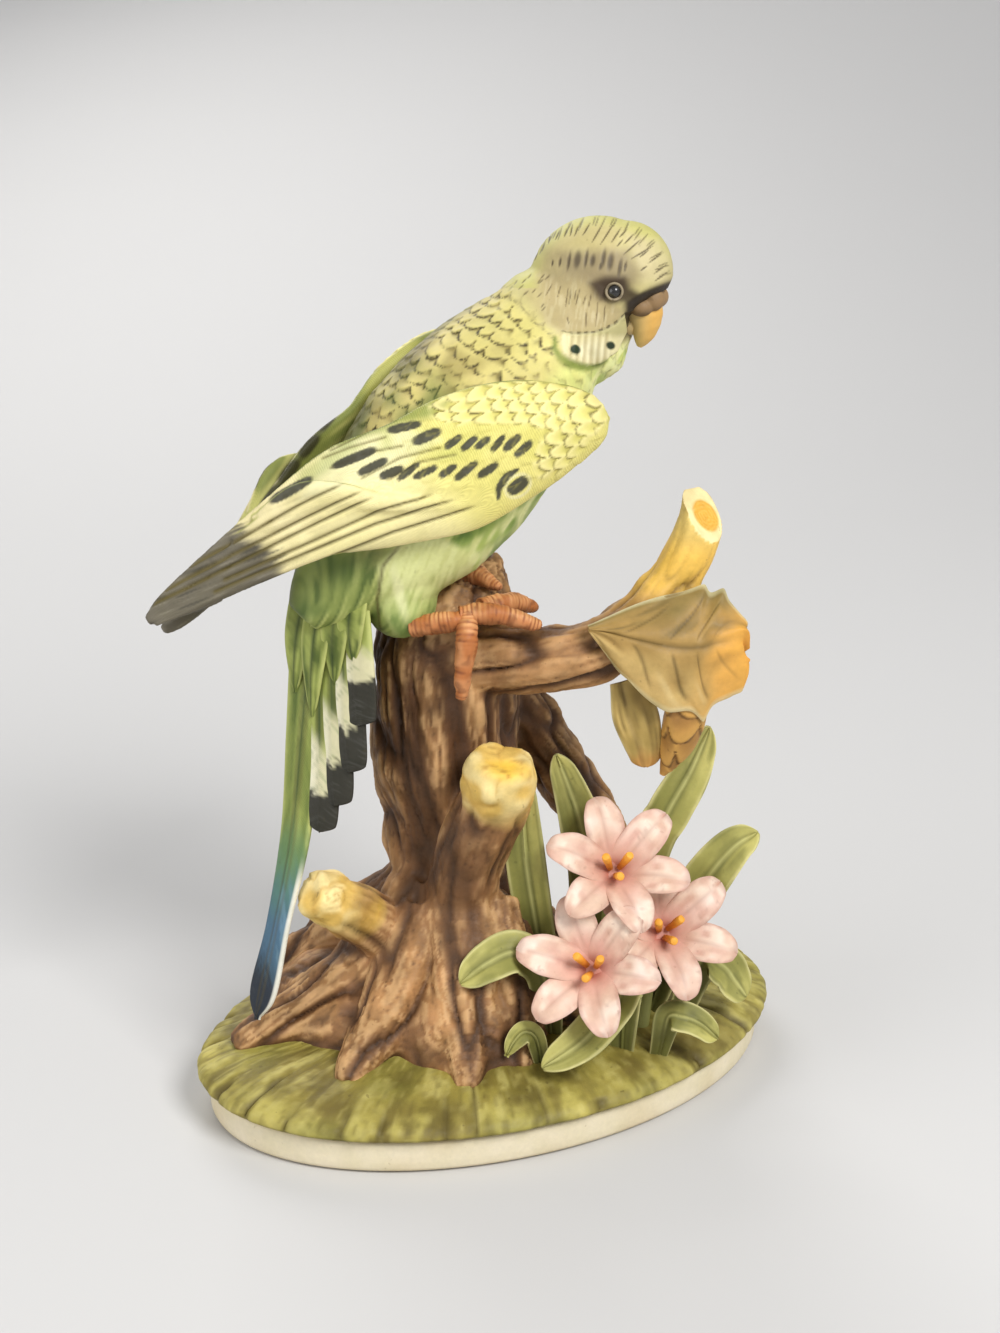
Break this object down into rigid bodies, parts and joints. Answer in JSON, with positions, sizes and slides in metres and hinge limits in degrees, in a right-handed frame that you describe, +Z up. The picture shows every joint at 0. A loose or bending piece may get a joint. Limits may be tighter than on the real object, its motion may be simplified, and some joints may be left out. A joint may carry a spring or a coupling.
{
  "type": "parrot figurine",
  "caption": "Painted bisque figurine of a small parrot perched on a tree stump, with leaves and lilies on an oval mossy foot.",
  "frame": {"origin": "centre of the flat underside of the oval foot", "axes": "+Z up from the foot to the bird's head; X along the foot's long axis, with the leaf and lilies towards +X; -Y is the side that the lilies face"},
  "size_m": [0.1295, 0.0842, 0.1713],
  "materials": {
    "stump_base": "matte painted bisque porcelain, browns on the stump, olive moss, cream foot",
    "bird": "matte painted bisque porcelain, yellow-green feathers with dark barring",
    "autumn_leaf": "matte painted bisque porcelain, olive to orange-brown",
    "hanging_leaf": "matte painted bisque porcelain, olive brown",
    "bud": "matte painted bisque porcelain, ochre",
    "lily_leaf": "matte painted bisque porcelain, soft green with a pale edge",
    "petal": "matte painted bisque porcelain, pale pink with a deeper throat",
    "stamen": "matte painted bisque porcelain, orange"
  },
  "bodies": {
    "root": {"stump_and_base": "stump_base", "bird": "bird", "autumn_leaf": "autumn_leaf", "hanging_leaf": "hanging_leaf", "bud": "bud", "lily_leaf_1": "lily_leaf", "lily_leaf_2": "lily_leaf", "lily_leaf_3": "lily_leaf", "lily_leaf_4": "lily_leaf", "lily_leaf_5": "lily_leaf", "lily_leaf_6": "lily_leaf", "lily_leaf_7": "lily_leaf", "lily_leaf_8": "lily_leaf", "lily_leaf_9": "lily_leaf", "lily_upper": "petal", "stamen_upper_1": "stamen", "stamen_upper_2": "stamen", "stamen_upper_3": "stamen", "lily_left": "petal", "stamen_left_1": "stamen", "stamen_left_2": "stamen", "stamen_left_3": "stamen", "lily_right": "petal", "stamen_right_1": "stamen", "stamen_right_2": "stamen", "stamen_right_3": "stamen"}
  },
  "joints": []
}
